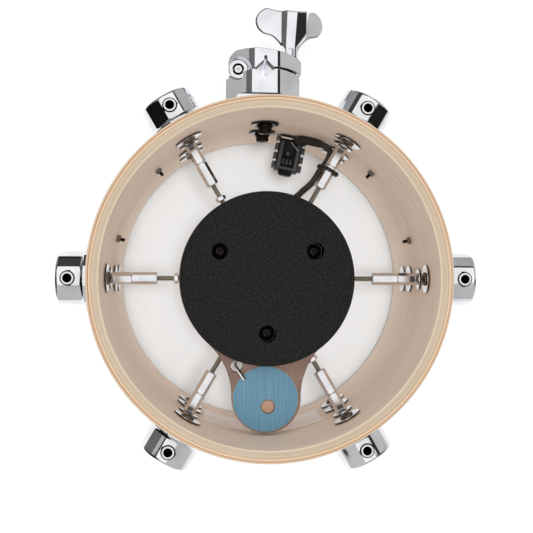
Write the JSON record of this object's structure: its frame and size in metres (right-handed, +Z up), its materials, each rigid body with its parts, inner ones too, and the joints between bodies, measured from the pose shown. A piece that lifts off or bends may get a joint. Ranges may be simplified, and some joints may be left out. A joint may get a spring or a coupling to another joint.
{
  "type": "electronic tom drum",
  "caption": "Small wooden electronic tom standing head down: mesh batter head on a chrome hoop, puck lugs, hinged rod clamp, open bottom with strut-held trigger plate, foam and jack.",
  "frame": {"origin": "centre of the mesh head's outer playing face, which looks down", "axes": "+Z up the drum's axis from the playing face to the open end; +Y from the axis to the rod clamp; +X to the right as seen from above the open end with the clamp at the top"},
  "size_m": [0.3078, 0.354, 0.1781],
  "materials": {
    "shell": "satin",
    "chrome": "polished",
    "bracket": "polished",
    "lugs": "polished",
    "struts": "polished",
    "mesh": "matte",
    "aluminium": "satin",
    "board": "matte",
    "foam": "matte",
    "brass": "satin",
    "blue_film": "satin",
    "black_plastic": "satin",
    "cable": "satin",
    "black_steel": "satin",
    "rubber": "matte"
  },
  "bodies": {
    "drum": {"shell": "shell", "batter_hoop": "chrome", "jack_nut": "chrome", "hinge_pin": "chrome", "bracket_base": "bracket", "bottom_lug_1": "lugs", "bottom_lug_2": "lugs", "bottom_lug_3": "lugs", "bottom_lug_4": "lugs", "bottom_lug_5": "lugs", "bottom_lug_6": "lugs", "top_lug_1": "lugs", "top_lug_2": "lugs", "top_lug_3": "lugs", "top_lug_4": "lugs", "top_lug_5": "lugs", "top_lug_6": "lugs", "outer_standoff_1": "struts", "outer_standoff_2": "struts", "outer_standoff_3": "struts", "outer_standoff_4": "struts", "outer_standoff_5": "struts", "outer_standoff_6": "struts", "inner_standoff_1": "struts", "inner_standoff_2": "struts", "inner_standoff_3": "struts", "inner_standoff_4": "struts", "inner_standoff_5": "struts", "inner_standoff_6": "struts", "mesh_head": "mesh", "flesh_hoop": "aluminium", "badge_plate_1": "aluminium", "badge_plate_2": "aluminium", "trigger_plate": "board", "sensor_carrier": "board", "foam_disc": "foam", "foam_cone": "foam", "rim_piezo": "brass", "head_piezo": "brass", "tower_standoff_1": "brass", "tower_standoff_2": "brass", "tower_standoff_3": "brass", "rim_piezo_cover": "blue_film", "jack_body": "black_plastic", "cable_tie": "black_plastic", "signal_cable": "cable", "rim_piezo_lead": "cable", "head_piezo_lead": "cable", "bracket_bolt_1": "black_steel", "bracket_bolt_2": "black_steel", "bracket_gasket": "rubber"},
    "wing_washer": {"wing_washer": "chrome"},
    "wing_screw": {"wing_screw": "chrome"},
    "bracket_jaw": {"bracket_jaw": "bracket"},
    "tension_rod_1": {"tension_rod_1": "chrome"},
    "tension_rod_2": {"tension_rod_2": "chrome"},
    "tension_rod_3": {"tension_rod_3": "chrome"},
    "tension_rod_4": {"tension_rod_4": "chrome"},
    "tension_rod_5": {"tension_rod_5": "chrome"},
    "tension_rod_6": {"tension_rod_6": "chrome"}
  },
  "joints": [
    {"name": "wing_lift", "type": "slide", "parent": "drum", "child": "wing_washer", "axis": [0, 1, 0], "range_m": [0, 0.00375]},
    {"name": "wing_turn", "type": "hinge", "parent": "wing_washer", "child": "wing_screw", "pos_m": [0.0186, 0.1705, 0.0861], "axis": [0, 1, 0], "range_deg": [0, 1080]},
    {"name": "jaw_open", "type": "hinge", "parent": "drum", "child": "bracket_jaw", "pos_m": [-0.0221, 0.1585, 0.0861], "axis": [0, 0, 1], "range_deg": [0, 4.6]},
    {"name": "tension_rod_turn_1", "type": "hinge", "parent": "drum", "child": "tension_rod_1", "pos_m": [0.1444, 0, 0.0076], "axis": [0, 0, 1], "range_deg": [-360, 360]},
    {"name": "tension_rod_turn_2", "type": "hinge", "parent": "drum", "child": "tension_rod_2", "pos_m": [0.0722, 0.12505, 0.0076], "axis": [0, 0, 1], "range_deg": [-360, 360]},
    {"name": "tension_rod_turn_3", "type": "hinge", "parent": "drum", "child": "tension_rod_3", "pos_m": [-0.0722, 0.12505, 0.0076], "axis": [0, 0, 1], "range_deg": [-360, 360]},
    {"name": "tension_rod_turn_4", "type": "hinge", "parent": "drum", "child": "tension_rod_4", "pos_m": [-0.1444, 0, 0.0076], "axis": [0, 0, 1], "range_deg": [-360, 360]},
    {"name": "tension_rod_turn_5", "type": "hinge", "parent": "drum", "child": "tension_rod_5", "pos_m": [-0.0722, -0.12505, 0.0076], "axis": [0, 0, 1], "range_deg": [-360, 360]},
    {"name": "tension_rod_turn_6", "type": "hinge", "parent": "drum", "child": "tension_rod_6", "pos_m": [0.0722, -0.12505, 0.0076], "axis": [0, 0, 1], "range_deg": [-360, 360]}
  ],
  "couplings": [
    {"joint": "wing_lift", "follows": "wing_turn", "m_per_rad": 0.00019894},
    {"joint": "jaw_open", "follows": "wing_turn", "ratio": 0.0042328}
  ]
}
